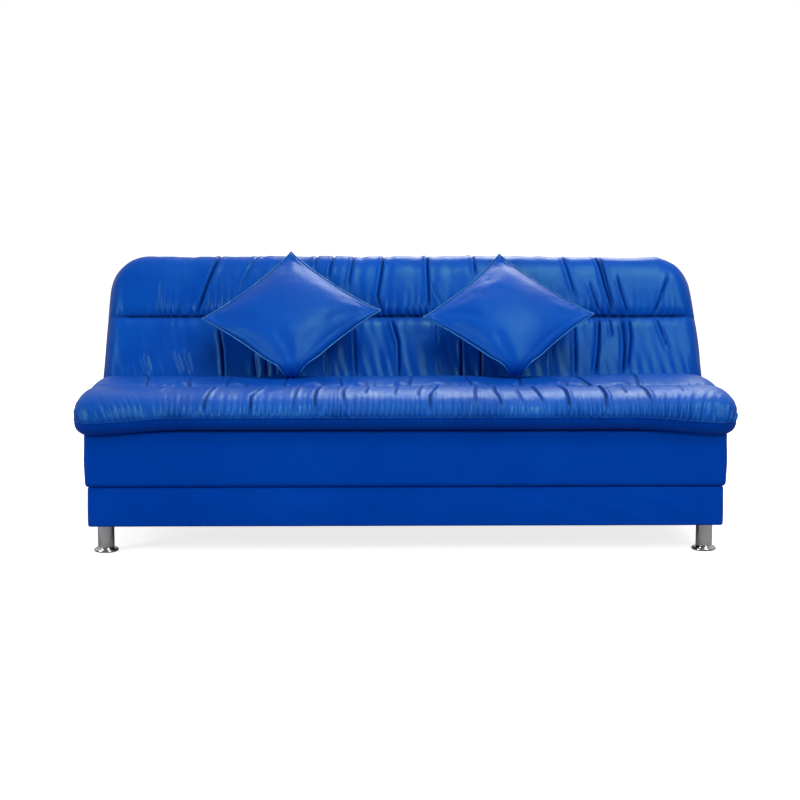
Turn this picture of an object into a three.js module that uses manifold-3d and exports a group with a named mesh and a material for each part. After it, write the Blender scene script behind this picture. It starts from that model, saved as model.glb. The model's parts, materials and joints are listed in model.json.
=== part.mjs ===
// A click-clack sofa bed. An upholstered base on four chrome legs carries a fixed seat cushion.
// The backrest turns on a hinge at each end and reclines until it lies level with the seat,
// and a fold-out stand on its rear side then reaches the floor.
// Millimetres. X runs along the width, the front faces -Y and Z is up. Inside this file Y is
// counted from the front of the seat cushion; the finished group is centred over the origin.
import * as THREE from "three";
import { mergeVertices } from "three/addons/utils/BufferGeometryUtils.js";
import Module from "manifold-3d";

const wasm = await Module();
wasm.setup();

const { degToRad } = THREE.MathUtils;
const SIDES = { left: -1, right: 1 };
const GAP = 0.3; // between pieces that touch
const SKIN = 4; // upholstery over the wooden frames
const CORNER = 10; // rounding of the base's upright corners
const COVER = 3; // leather of the cushions

const WIDTH = 1800;
const BOARD = 18;
const PLY = 6;
const LIP = 3; // the upholstery reaches this far below its boards
const SEAT_DECK = 12;
const SEAT_RAIL = { halfWidth: 12.5, height: 66 };
const DUST_COVER = { thickness: 2.5, margin: 6, fromPlates: 8 };

// The lower frame runs the whole depth, and the box on it ends under the seat's rear edge.
const PLINTH = { halfWidth: 857, front: 36, rear: 700, bottom: 81, top: 188 };
const BOX = { halfWidth: 862, front: 30, rear: 498, top: 345 };
const LEG = { x: 819, front: 110, rear: 630, radius: 22.5, wall: 2, plate: 78, plateDepth: 2.7, end: 9 };
const FOOT = { radius: 33.5, height: 12, stud: 5.8, studTop: 40, studHole: 6.4 };

const SEAT = { halfWidth: 889, rear: 508, rearFoot: 495, bottom: 345.4, top: 440, rearTop: 436 };

// The backrest's own axes start at the hinge: n points out of its rear and u up along it.
const LEAN = 19;
const PIVOT = { y: 593, z: 365 };
const BACK = { front: -75, rear: 75, bottom: -85, top: 424, topHalfWidth: 872 };
const FRAME = { halfWidth: 838, front: 40, rear: 70, bottom: -75, top: 372, rail: 40 };

// Each hinge lies in a slot in the end of the backrest, its layers stacked along X.
const SLOT = { from: 828, to: 866, front: -60, top: 38 };
const LEAF = { from: 838.3, to: 843.3, armTop: 148 };
const WASHER = { from: 843.6, to: 845.6, radius: 14 };
const WEB = { from: 845.9, to: 851.9, eye: 24 };
const FLANGE = { from: 788, bottom: 195, top: 276, thickness: 6 };
const BOLT = { shank: 6, head: 11, nut: 10, from: 829, to: 858 };
const CAM = { radius: 34, notch: 28.3, rise: 9.4, notchStart: -0.24 };
const PAWL = { y: -30, z: -50, pin: 4 }; // its pin, from the hinge
const CLEARANCE = 0.3; // radial, round each pin

const STAND = { x: 600, u: 330, n: 93, tube: 11, wall: 1.5, head: 9, crossbar: 200, pin: 4 };
const STAND_FOOT = { radius: 14, height: 18, cup: 14 };

const PILLOW = { side: 366, thickness: 108, pinch: 0.06, curledCorner: 42, lean: 45.7, y: 310, z: 456 };
const PILLOWS = { left: { x: -318, roll: 3.5 }, right: { x: 320, roll: 3.3 } };

const finish = (color, roughness, metalness = 0) =>
  new THREE.MeshStandardMaterial({ color, roughness, metalness });
const LEATHER = finish(0x0a3fb0, 0.35);
const BASE_LEATHER = finish(0x0036a0, 0.4);
const PILLOW_LEATHER = finish(0x0d48c0, 0.3);
const FOAM = finish(0xe8dfc4, 0.95);
const PINE = finish(0xc79a63, 0.7);
const PLYWOOD = finish(0xb58a58, 0.75);
const CLOTH = finish(0x16161a, 0.95);
const CHROME = finish(0xd8dadd, 0.12, 1);
const STEEL = finish(0x8b8f94, 0.4, 1);
const RUBBER = finish(0x17181a, 0.85);

// ---- Shapes ----

function solidOf(geometry) {
  const bare = geometry.clone();
  bare.deleteAttribute("normal");
  bare.deleteAttribute("uv");
  const merged = mergeVertices(bare, 1e-3);
  return new wasm.Manifold(
    new wasm.Mesh({
      numProp: 3,
      vertProperties: merged.attributes.position.array,
      triVerts: new Uint32Array(merged.index.array),
    }),
  );
}

function geometryOf(solid) {
  const { vertProperties, triVerts } = solid.getMesh();
  const geometry = new THREE.BufferGeometry();
  geometry.setAttribute("position", new THREE.BufferAttribute(vertProperties, 3));
  geometry.setIndex(new THREE.BufferAttribute(triVerts, 1));
  geometry.computeVertexNormals();
  return geometry;
}

function block(x, y, z) {
  const geometry = new THREE.BoxGeometry(x[1] - x[0], y[1] - y[0], z[1] - z[0]);
  return geometry.translate((x[0] + x[1]) / 2, (y[0] + y[1]) / 2, (z[0] + z[1]) / 2);
}

// A closed outline through corners [a, b, radius], each rounded by an arc of its radius.
function outline(corners, steps = 5) {
  return corners.flatMap(([a, b, radius = 0], i) => {
    const corner = new THREE.Vector2(a, b);
    if (!radius) return [corner];
    const towards = (other) => new THREE.Vector2(other[0], other[1]).sub(corner).normalize();
    const back = towards(corners.at(i - 1));
    const on = towards(corners[(i + 1) % corners.length]);
    const half = Math.acos(back.dot(on)) / 2;
    const start = back.clone().multiplyScalar(radius / Math.tan(half));
    const middle = back.clone().add(on).normalize().multiplyScalar(radius / Math.sin(half));
    const spoke = start.sub(middle);
    const turn = Math.sign(back.cross(on)) * (2 * half - Math.PI);
    return Array.from({ length: steps + 1 }, (_, k) =>
      spoke.clone().rotateAround(new THREE.Vector2(), (turn * k) / steps).add(middle).add(corner),
    );
  });
}

const circle = (a, b, radius, count = 20) =>
  new THREE.EllipseCurve(a, b, radius, radius).getPoints(count).slice(0, -1);

// An outline pushed along one axis: (y, z) along X, (x, z) along Y or (x, y) along Z.
const [AX, AY, AZ] = [new THREE.Vector3(1, 0, 0), new THREE.Vector3(0, 1, 0), new THREE.Vector3(0, 0, 1)];
const BASES = {
  x: new THREE.Matrix4().makeBasis(AY, AZ, AX),
  y: new THREE.Matrix4().makeBasis(AX, AZ, AY.clone().negate()),
  z: new THREE.Matrix4(),
};
function prism(axis, points, [from, to], holes = []) {
  const shape = new THREE.Shape(points);
  shape.holes = holes.map((hole) => new THREE.Path(hole));
  const geometry = new THREE.ExtrudeGeometry(shape, { depth: to - from, bevelEnabled: false });
  return geometry.translate(0, 0, axis === "y" ? -to : from).applyMatrix4(BASES[axis]);
}

// A profile of [radius, height] turned about Z, with its height growing where it faces outwards.
const turned = (profile, count = 24) =>
  new THREE.LatheGeometry(
    profile.map(([r, h]) => new THREE.Vector2(r, h)),
    count,
  ).rotateX(Math.PI / 2);

const ring = (inner, outer, [from, to], count) =>
  turned([[inner, from], [outer, from], [outer, to], [inner, to], [inner, from]], count);

const alongX = (geometry) => geometry.rotateY(Math.PI / 2);

// On the left a range of X is the mirror image of the right-hand one.
const mirrored = ([from, to], side) => (side > 0 ? [from, to] : [-to, -from]);

function add(parent, name, geometry, material) {
  const mesh = new THREE.Mesh(geometry, material);
  mesh.name = name;
  parent.add(mesh);
  return mesh;
}

function addGroup(parent, y, z, turn, x = 0) {
  const group = new THREE.Group();
  group.position.set(x, y, z);
  group.rotation.x = turn;
  parent.add(group);
  return group;
}

// ---- Base ----

// Four boards on edge, the long ones between the end ones, and the upholstery band round them.
function frameOfBoards(parent, prefix, { halfWidth, front, rear }, [bottom, boardTop, top]) {
  const end = halfWidth - SKIN - GAP;
  const inner = end - BOARD;
  const [nearFront, nearRear] = [front + SKIN + GAP, rear - SKIN - GAP];
  const height = [bottom + LIP, boardTop];
  const long = [-inner + GAP, inner - GAP];
  add(parent, `${prefix}_front_rail`, block(long, [nearFront, nearFront + BOARD], height), PINE);
  add(parent, `${prefix}_rear_rail`, block(long, [nearRear - BOARD, nearRear], height), PINE);
  for (const [side, sign] of Object.entries(SIDES)) {
    const across = mirrored([inner, end], sign);
    add(parent, `${prefix}_${side}_rail`, block(across, [nearFront, nearRear], height), PINE);
  }
  const plan = (inset, radius) => outline([
    [inset - halfWidth, front + inset, radius],
    [halfWidth - inset, front + inset, radius],
    [halfWidth - inset, rear - inset, radius],
    [inset - halfWidth, rear - inset, radius],
  ]);
  const band = prism("z", plan(0, CORNER), [bottom, top], [plan(SKIN, 0)]);
  add(parent, `${prefix}_cover`, band, BASE_LEATHER);
}

function plinth(parent) {
  const deck = [PLINTH.top - PLY, PLINTH.top];
  frameOfBoards(parent, "plinth", PLINTH, [PLINTH.bottom, deck[0] - GAP, PLINTH.top]);
  const x = PLINTH.halfWidth - SKIN - GAP;
  const y = [PLINTH.front + SKIN + GAP, PLINTH.rear - SKIN - GAP];
  add(parent, "base_deck", block([-x, x], y, deck), PLYWOOD);
  const { thickness, margin, fromPlates } = DUST_COVER;
  const clear = LEG.x - LEG.plate / 2 - fromPlates;
  const across = [y[0] + margin, y[1] - margin];
  const cloth = block([-clear, clear], across, [PLINTH.bottom, PLINTH.bottom + thickness]);
  add(parent, "dust_cover", cloth, CLOTH);
}

function seatBox(parent) {
  const [bottom, top] = [PLINTH.top + GAP, BOX.top];
  const deck = [top - SEAT_DECK, top];
  frameOfBoards(parent, "box", BOX, [bottom, deck[0] - GAP, top]);
  const x = BOX.halfWidth - SKIN - GAP;
  const y = [BOX.front + SKIN + GAP, BOX.rear - SKIN - GAP];
  add(parent, "seat_deck", block([-x, x], y, deck), PLYWOOD);
  const between = [y[0] + BOARD + GAP, y[1] - BOARD - GAP];
  const { halfWidth, height } = SEAT_RAIL;
  const rail = block([-halfWidth, halfWidth], between, [deck[0] - height, deck[0] - GAP]);
  add(parent, "seat_centre_rail", rail, PINE);
}

function leg(parent, name, x, y) {
  const half = LEG.plate / 2;
  const room = PLINTH.halfWidth - SKIN - 2 * GAP; // inside the upholstery band
  const across = mirrored([LEG.x - half, Math.min(LEG.x + half, room)], x);
  const plate = block(across, [y - half, y + half], [PLINTH.bottom, PLINTH.bottom + LEG.plateDepth]);
  add(parent, `leg_plate_${name}`, plate, STEEL);
  const [bottom, top] = [FOOT.height + GAP, PLINTH.bottom - GAP];
  const bore = LEG.radius - LEG.wall;
  const tube = turned([
    [FOOT.studHole, bottom],
    [LEG.radius, bottom],
    [LEG.radius, top],
    [bore, top],
    [bore, bottom + LEG.end],
    [FOOT.studHole, bottom + LEG.end],
    [FOOT.studHole, bottom],
  ]);
  add(parent, `leg_tube_${name}`, tube.translate(x, y, 0), CHROME);
  const foot = turned([
    [0, 0],
    [FOOT.radius - 2, 0],
    [FOOT.radius, 3],
    [FOOT.radius, 6],
    [FOOT.radius - 4, 9],
    [LEG.radius + 2, 7.5],
    [LEG.radius - 1, FOOT.height],
    [FOOT.stud, FOOT.height],
    [FOOT.stud, FOOT.studTop],
    [0, FOOT.studTop],
  ]);
  add(parent, `foot_${name}`, foot.translate(x, y, 0), CHROME);
}

// ---- Seat cushion ----

// The cushion's form: its side, front and plan outlines pushed through each other.
function seatForm(inset, bottom) {
  const x = SEAT.halfWidth - inset;
  const [front, rear, foot] = [inset, SEAT.rear - inset, SEAT.rearFoot - inset];
  const [top, rearTop] = [SEAT.top - inset, SEAT.rearTop - inset];
  const radius = (r) => Math.max(r - inset, 2);
  const side = outline([
    [front, bottom, radius(12)],
    [foot, bottom],
    [rear, rearTop, radius(22)],
    [front, top, radius(62)],
  ], 8);
  const across = outline([
    [-x, bottom, radius(26)],
    [x, bottom, radius(26)],
    [x, top, radius(56)],
    [-x, top, radius(56)],
  ], 7);
  const plan = outline([
    [-x, front, radius(60)],
    [x, front, radius(60)],
    [x, rear + 1, radius(24)],
    [-x, rear + 1, radius(24)],
  ]);
  return solidOf(prism("x", side, [-x, x]))
    .intersect(solidOf(prism("y", across, [front - 1, rear + 2])))
    .intersect(solidOf(prism("z", plan, [bottom - 1, top + 1])));
}

function seatCushion(parent) {
  const room = seatForm(COVER, SEAT.bottom - 20);
  add(parent, "seat_cover", geometryOf(seatForm(0, SEAT.bottom).subtract(room)), LEATHER);
  const cut = solidOf(block([-WIDTH, WIDTH], [-50, SEAT.rear + 50], [SEAT.bottom, SEAT.top + 50]));
  const foam = seatForm(COVER + GAP, SEAT.bottom - 20).intersect(cut);
  add(parent, "seat_foam", geometryOf(foam), FOAM);
}

// ---- Backrest, in its own axes: x, n, u ----

function backForm(inset) {
  const [front, rear] = [BACK.front + inset, BACK.rear - inset];
  const [bottom, top] = [BACK.bottom + inset, BACK.top - inset];
  const [low, high] = [WIDTH / 2 - inset, BACK.topHalfWidth - inset];
  const side = outline([
    [front, bottom, 60 - inset],
    [rear, bottom, 18 - inset],
    [rear, top, 50 - inset],
    [front, top, 55 - inset],
  ], 8);
  const face = outline([
    [-low, bottom, 22 - inset],
    [low, bottom, 22 - inset],
    [high, top, 112 - inset],
    [-high, top, 112 - inset],
  ], 8);
  return solidOf(prism("x", side, [-low, low])).intersect(
    solidOf(prism("y", face, [front - 1, rear + 1])),
  );
}

function hingeSlot(side) {
  const x = mirrored([SLOT.from, SLOT.to], side);
  return solidOf(block(x, [SLOT.front, BACK.rear + 10], [BACK.bottom - 10, SLOT.top]));
}

function backCushion(parent) {
  const frameRoom = solidOf(
    block(
      [-FRAME.halfWidth - GAP, FRAME.halfWidth + GAP],
      [FRAME.front - GAP, BACK.rear + 10],
      [FRAME.bottom - GAP, FRAME.top + GAP],
    ),
  );
  let cover = backForm(0).subtract(backForm(COVER)).subtract(frameRoom);
  let foam = backForm(COVER + GAP).subtract(frameRoom);
  for (const side of Object.values(SIDES)) {
    const leafRoom = mirrored([FRAME.halfWidth, LEAF.to + GAP], side);
    const armRoom = [SLOT.top - 2 * COVER, LEAF.armTop + 2];
    const leafSpace = solidOf(block(leafRoom, [0, FRAME.rear], armRoom));
    cover = cover.subtract(hingeSlot(side));
    foam = foam.subtract(hingeSlot(side)).subtract(leafSpace);
  }
  add(parent, "back_cover", geometryOf(cover), LEATHER);
  add(parent, "back_foam", geometryOf(foam), FOAM);
}

function backFrame(parent) {
  const { halfWidth, front, rear, bottom, top, rail } = FRAME;
  const depth = [front, rear];
  const span = [-halfWidth + rail + GAP, halfWidth - rail - GAP];
  add(parent, "back_top_rail", block(span, depth, [top - rail, top]), PINE);
  add(parent, "back_bottom_rail", block(span, depth, [bottom, bottom + rail]), PINE);
  const between = [bottom + rail + GAP, top - rail - GAP];
  add(parent, "back_centre_stile", block([-rail / 2, rail / 2], depth, between), PINE);
  for (const [name, side] of Object.entries(SIDES)) {
    const x = mirrored([halfWidth - rail, halfWidth], side);
    add(parent, `back_${name}_stile`, block(x, depth, [bottom, top]), PINE);
  }
  const panel = block([-halfWidth, halfWidth], [rear + GAP, BACK.rear], [bottom, top]);
  add(parent, "back_rear_panel", panel, BASE_LEATHER);
}

// ---- Click-clack hinges ----

// Angle from +Y towards +Z at which the pawl's nose meets the cam, seen from the hinge.
const PAWL_DISTANCE = Math.hypot(PAWL.y, PAWL.z);
const NOSE_ANGLE = Math.atan2(PAWL.z, PAWL.y) - Math.acos(CAM.radius / PAWL_DISTANCE);

// The cam is round but for one notch: a steep end, a floor, and a ramp that lifts the pawl.
function camOutline() {
  const count = 120;
  return Array.from({ length: count }, (_, k) => {
    const past = (k / count) * 2 * Math.PI - Math.PI;
    const ramp = past < CAM.notchStart ? CAM.radius : CAM.notch + CAM.rise * Math.max(0, past);
    const radius = Math.min(CAM.radius, ramp);
    const angle = NOSE_ANGLE + degToRad(LEAN) + past;
    return new THREE.Vector2(radius * Math.cos(angle), radius * Math.sin(angle));
  });
}

// Leaf on the backrest's stile: the cam and an arm up to the mounting strip.
function hingeLeaf(parent, name, side) {
  const x = mirrored([LEAF.from, LEAF.to], side);
  const { armTop } = LEAF;
  const arm = [[33, -2], [68, 25], [68, armTop], [43, armTop], [43, 62], [8, 33.5]];
  const hole = prism("x", circle(0, 0, BOLT.shank + CLEARANCE), [x[0] - 1, x[1] + 1]);
  const leaf = solidOf(prism("x", camOutline(), x))
    .add(solidOf(prism("x", outline(arm), x)))
    .add(solidOf(prism("x", circle(0, 0, CAM.notch - 1), x)))
    .subtract(solidOf(hole));
  add(parent, `hinge_leaf_${name}`, geometryOf(leaf), STEEL);
}

// Bracket on the rear of the box: a flange against the box and a web out to the hinge.
function hingeBracket(parent, name, side) {
  const x = mirrored([WEB.from, WEB.to], side);
  const foot = BOX.rear + GAP;
  const low = new THREE.Vector2(foot, (FLANGE.bottom + FLANGE.top) / 2);
  const eye = new THREE.Vector2(PIVOT.y, PIVOT.z);
  const along = eye.clone().sub(low).normalize().multiplyScalar(WEB.eye);
  const across = new THREE.Vector2(along.y, -along.x);
  const tip = eye.clone().add(along);
  const [outer, inner] = [tip.clone().add(across), tip.clone().sub(across)];
  const rounding = WEB.eye - 0.5;
  const web = outline([
    [foot, FLANGE.bottom],
    [outer.x, outer.y, rounding],
    [inner.x, inner.y, rounding],
    [foot, FLANGE.top],
  ], 10);
  const bolt = circle(eye.x, eye.y, BOLT.shank + CLEARANCE);
  const pin = circle(eye.x + PAWL.y, eye.y + PAWL.z, PAWL.pin + CLEARANCE);
  const flange = block(
    mirrored([FLANGE.from, WEB.to], side),
    [foot, foot + FLANGE.thickness],
    [FLANGE.bottom, FLANGE.top],
  );
  const bracket = solidOf(prism("x", web, x, [bolt, pin])).add(solidOf(flange));
  add(parent, `hinge_bracket_${name}`, geometryOf(bracket), STEEL);
}

function hingePins(parent, name, side) {
  const { from, to, shank, head, nut } = BOLT;
  const bolt = turned([
    [0, from],
    [nut, from],
    [nut, LEAF.from - 0.8],
    [shank, LEAF.from - 0.8],
    [shank, WEB.to + GAP],
    [head, WEB.to + GAP],
    [head, to],
    [0, to],
  ]);
  const pin = turned([
    [0, LEAF.from + GAP],
    [PAWL.pin, LEAF.from + GAP],
    [PAWL.pin, WEB.to + GAP],
    [7, WEB.to + GAP],
    [7, WEB.to + 3],
    [0, WEB.to + 3],
  ]);
  const washer = ring(shank + CLEARANCE, WASHER.radius, [WASHER.from, WASHER.to]);
  const place = (geometry, y, z) => {
    const laid = alongX(geometry);
    if (side < 0) laid.rotateZ(Math.PI);
    return laid.translate(0, y, z);
  };
  add(parent, `pivot_bolt_${name}`, place(bolt, PIVOT.y, PIVOT.z), STEEL);
  add(parent, `hinge_washer_${name}`, place(washer, PIVOT.y, PIVOT.z), STEEL);
  add(parent, `pawl_pin_${name}`, place(pin, PIVOT.y + PAWL.y, PIVOT.z + PAWL.z), STEEL);
}

// The pawl stands up from its pin beside the cam, and its nose reaches into the notch.
function pawl(parent, name, side) {
  const reach = Math.sqrt(PAWL_DISTANCE ** 2 - CAM.radius ** 2);
  const x = mirrored([LEAF.from, LEAF.to], side);
  const arm = [
    [-9, 0],
    [7, 0],
    [-2.5, 22],
    [-2.5, reach - 5],
    [3.5, reach - 2],
    [3.5, reach + 2],
    [-3, reach + 5],
    [-13, reach + 5],
    [-13, 20],
  ];
  const hole = prism("x", circle(0, 0, PAWL.pin + CLEARANCE), [x[0] - 1, x[1] + 1]);
  const body = solidOf(prism("x", outline(arm), x))
    .add(solidOf(prism("x", circle(0, 0, 9), x)))
    .subtract(solidOf(hole));
  const group = addGroup(parent, PIVOT.y + PAWL.y, PIVOT.z + PAWL.z, NOSE_ANGLE + Math.PI);
  add(group, `pawl_${name}`, geometryOf(body), STEEL);
}

// ---- Fold-out stand, folded down the backrest's rear side ----

function standBracket(parent, name, side) {
  const x = side * STAND.x;
  const ears = [STAND.tube + 1.5, STAND.tube + 4.5];
  const rear = BACK.rear + GAP;
  const ear = outline([
    [rear, -14],
    [STAND.n + 11, -14, 10],
    [STAND.n + 11, 14, 10],
    [rear, 14],
  ]).map((point) => point.add(new THREE.Vector2(0, STAND.u)));
  const hole = circle(STAND.n, STAND.u, STAND.pin + CLEARANCE);
  const plate = block([x - 26, x + 26], [rear, rear + 3], [STAND.u - 26, STAND.u + 26]);
  let bracket = solidOf(plate);
  for (const way of [-1, 1]) {
    const span = mirrored(ears, way).map((value) => value + x);
    bracket = bracket.add(solidOf(prism("x", ear, span, [hole])));
  }
  add(parent, `stand_bracket_${name}`, geometryOf(bracket), STEEL);
  const half = ears[1] + GAP;
  const pin = turned([
    [0, -half - 3],
    [7, -half - 3],
    [7, -half],
    [STAND.pin, -half],
    [STAND.pin, half],
    [7, half],
    [7, half + 3],
    [0, half + 3],
  ]);
  add(parent, `stand_pin_${name}`, alongX(pin).translate(x, STAND.n, STAND.u), STEEL);
}

// The group's origin is on the pins, and the legs point down along the backrest.
function stand(parent) {
  const group = addGroup(parent, STAND.n, STAND.u, 0);
  const length = PIVOT.z - STAND.n; // from the pins to the floor with the backrest flat
  const bore = STAND.tube - STAND.wall;
  const footTop = -length + STAND_FOOT.height;
  for (const [name, side] of Object.entries(SIDES)) {
    const tube = ring(bore, STAND.tube, [footTop + GAP, STAND.head]);
    const hole = alongX(new THREE.CylinderGeometry(
      STAND.pin + CLEARANCE, STAND.pin + CLEARANCE, 40, 20,
    ).rotateX(Math.PI / 2));
    const legSolid = solidOf(tube).subtract(solidOf(hole));
    const legGeometry = geometryOf(legSolid).translate(side * STAND.x, 0, 0);
    add(group, `stand_leg_${name}`, legGeometry, CHROME);
    const cup = STAND.tube + GAP;
    const foot = turned([
      [0, -length],
      [STAND_FOOT.radius - 2, -length],
      [STAND_FOOT.radius, -length + 2],
      [STAND_FOOT.radius, footTop + STAND_FOOT.cup],
      [cup, footTop + STAND_FOOT.cup],
      [cup, footTop],
      [0, footTop],
    ]);
    add(group, `stand_foot_${name}`, foot.translate(side * STAND.x, 0, 0), RUBBER);
  }
  const half = STAND.x - STAND.tube - GAP;
  const crossbar = alongX(ring(bore, STAND.tube, [-half, half]));
  add(group, "stand_crossbar", crossbar.translate(0, 0, -STAND.crossbar), CHROME);
}

// ---- Throw pillows, each standing on a curled corner and leaning on the backrest ----

function pillowForm() {
  const cells = 10;
  const half = PILLOW.side / 2;
  const positions = [];
  const point = (i, j, face) => {
    const [s, t] = [(2 * i) / cells - 1, (2 * j) / cells - 1];
    const height = ((1 - s * s) * (1 - t * t)) ** 0.45;
    return [
      half * s * (1 - PILLOW.pinch * (1 - t * t)),
      (face * PILLOW.thickness * height) / 2,
      half * t * (1 - PILLOW.pinch * (1 - s * s)),
    ];
  };
  for (let i = 0; i < cells; i++)
    for (let j = 0; j < cells; j++)
      for (const face of [-1, 1]) {
        const [a, b] = [point(i, j, face), point(i + 1, j, face)];
        const [c, d] = [point(i + 1, j + 1, face), point(i, j + 1, face)];
        positions.push(...(face < 0 ? [a, b, c, a, c, d] : [a, c, b, a, d, c]).flat());
      }
  const geometry = new THREE.BufferGeometry();
  geometry.setAttribute("position", new THREE.Float32BufferAttribute(positions, 3));
  return geometry;
}

function pillow(parent, name, { x, roll }) {
  const reach = PILLOW.side * Math.SQRT1_2 - PILLOW.curledCorner;
  const wide = PILLOW.side;
  const standing = solidOf(pillowForm().rotateY(Math.PI / 4));
  const above = solidOf(block([-wide, wide], [-wide, wide], [-reach, wide]));
  const form = geometryOf(standing.intersect(above)).translate(0, 0, reach);
  const group = addGroup(parent, PILLOW.y, PILLOW.z, -degToRad(PILLOW.lean), x);
  add(group, `pillow_${name}`, form.rotateY(-degToRad(roll)), PILLOW_LEATHER);
}

// ---- Assembly ----

function assemble() {
  const sofa = new THREE.Group();
  plinth(sofa);
  seatBox(sofa);
  for (const [name, side] of Object.entries(SIDES)) {
    leg(sofa, `front_${name}`, side * LEG.x, LEG.front);
    leg(sofa, `rear_${name}`, side * LEG.x, LEG.rear);
  }
  seatCushion(sofa);
  const back = addGroup(sofa, PIVOT.y, PIVOT.z, -degToRad(LEAN));
  backFrame(back);
  backCushion(back);
  stand(back);
  for (const [name, side] of Object.entries(SIDES)) {
    hingeBracket(sofa, name, side);
    hingePins(sofa, name, side);
    pawl(sofa, name, side);
    hingeLeaf(back, name, side);
    standBracket(back, name, side);
    pillow(sofa, name, PILLOWS[name]);
  }
  const extent = new THREE.Box3().setFromObject(sofa, true);
  sofa.position.y = -(extent.min.y + extent.max.y) / 2;
  return sofa;
}

export default assemble();
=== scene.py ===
"""A click-clack sofa bed in pleated blue faux leather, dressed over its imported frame.

Metres throughout. X runs along the width, the front faces -Y and Z is up. The soft pieces are
lofted skins whose seams, puckers and pleats are real relief in the mesh.
"""
import itertools
import json
import math

import bmesh
import bpy
import numpy as np
from mathutils import Matrix, Vector


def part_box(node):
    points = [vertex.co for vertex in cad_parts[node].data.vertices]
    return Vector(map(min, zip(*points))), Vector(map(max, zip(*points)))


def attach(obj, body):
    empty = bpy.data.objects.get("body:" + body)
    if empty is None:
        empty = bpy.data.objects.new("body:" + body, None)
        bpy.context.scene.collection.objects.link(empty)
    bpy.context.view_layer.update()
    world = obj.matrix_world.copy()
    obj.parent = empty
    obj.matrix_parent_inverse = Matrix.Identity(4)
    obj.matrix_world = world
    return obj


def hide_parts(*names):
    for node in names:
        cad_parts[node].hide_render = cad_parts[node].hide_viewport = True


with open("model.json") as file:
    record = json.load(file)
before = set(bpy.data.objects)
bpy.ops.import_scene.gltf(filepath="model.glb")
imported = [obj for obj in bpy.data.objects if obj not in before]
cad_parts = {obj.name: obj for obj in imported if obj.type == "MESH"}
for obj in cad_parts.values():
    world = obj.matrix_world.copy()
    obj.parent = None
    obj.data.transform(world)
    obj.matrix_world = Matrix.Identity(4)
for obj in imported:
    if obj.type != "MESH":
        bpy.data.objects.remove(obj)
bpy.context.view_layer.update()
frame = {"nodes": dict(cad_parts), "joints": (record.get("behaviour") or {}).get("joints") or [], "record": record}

# ---- Measures, from the frame where it has them ----

SEAT_LOW, SEAT_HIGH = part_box("seat_cover")
NOSE = SEAT_LOW.y  # the front of the seat cushion
SEAT_HALF = SEAT_HIGH.x
SEAT_FOOT = SEAT_LOW.z + 0.0002
BOX_LOW, BOX_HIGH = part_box("box_cover")
BACK_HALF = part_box("back_cover")[1].x
HINGE = Vector(next(j["pos_m"] for j in frame["joints"] if j["name"] == "back_recline"))
LEAN = math.radians(19)  # of the backrest, from upright
BACK_DEPTH = 0.075  # from the hinge line to either face of the backrest
BACK_FOOT, BACK_TOP = -0.085, 0.424  # its lower and upper edges, up from the hinge
SEAM = 0.225  # its stitched seam, up from the hinge
TOP_HALF = 0.872  # its half width along the top

PILLOW_SIDE, PILLOW_DEPTH = 0.366, 0.108
PILLOW_LEAN = math.radians(45.7)
PILLOW_ROLL = {"left": math.radians(3.5), "right": math.radians(3.3)}
PILLOW_REACH = PILLOW_SIDE * math.sqrt(0.5) - 0.042  # from its middle to the curled corner
PILLOW_AXIS_RISE = 0.0558  # its tilt axis lies this far above its foot
PILLOW_SWELL = 0.009  # the most that filling it may move a point
PILLOW_CELLS = 44  # of its blank, along each side
PILLOW_PINCH = 0.121  # how far the blank's sides are drawn in between its corners
PILLOW_SLACK = 0.86  # the blank's depth before it is filled, against the pillow's
# How each pillow settles: its lean sideways, its tilt and the lift of its side corners, its
# width and height against a true square, and how far its curled corner is lifted.
PILLOW_SLUMP = {
    "left": dict(lean_over=0.030, tilt=0.0, lift=0.002, narrow=1.0, tall=0.962, rise=0.018),
    "right": dict(lean_over=-0.012, tilt=-0.033, lift=0.0, narrow=0.958, tall=0.930, rise=0.024),
}


# ---- Materials ----


def add_node(tree, kind, inputs, **settings):
    """Adds a node. Each of its inputs is given a value, or another node's output."""
    node = tree.nodes.new("ShaderNode" + kind)
    for key, value in settings.items():
        setattr(node, key, value)
    for key, value in inputs.items():
        if isinstance(value, bpy.types.NodeSocket):
            tree.links.new(value, node.inputs[key])
        else:
            node.inputs[key].default_value = value
    return node


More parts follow.
